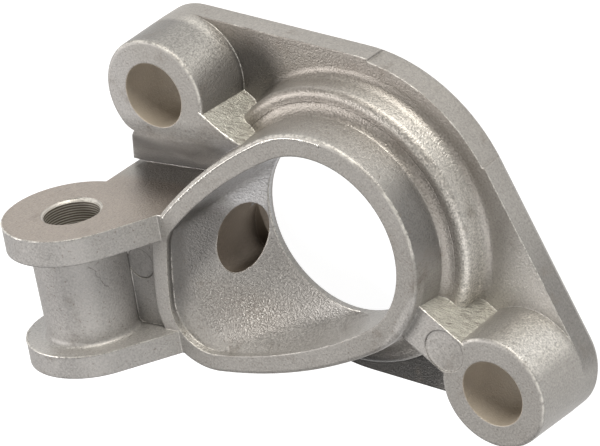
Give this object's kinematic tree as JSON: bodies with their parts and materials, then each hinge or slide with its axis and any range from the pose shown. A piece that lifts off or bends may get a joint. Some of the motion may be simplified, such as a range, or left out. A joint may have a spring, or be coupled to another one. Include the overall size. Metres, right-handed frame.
{
  "type": "lever holder bracket",
  "caption": "Die-cast bracket with a bored hub, an open side scoop, bolt bosses on a flange, and a forked lug whose spool carries a lever pivot.",
  "frame": {"origin": "On the bore axis, in the plane of the flat back face, midway between the bolt holes", "axes": "+Z along the bore axis from the back face out of the front mouth, +X through the two bolt holes towards the boss far from the lug, +Y away from the lug"},
  "size_m": [0.089, 0.0775, 0.0305],
  "materials": {
    "casting": "shot-blasted die casting"
  },
  "bodies": {
    "root": {"lever_holder_bracket": "casting"}
  },
  "joints": []
}
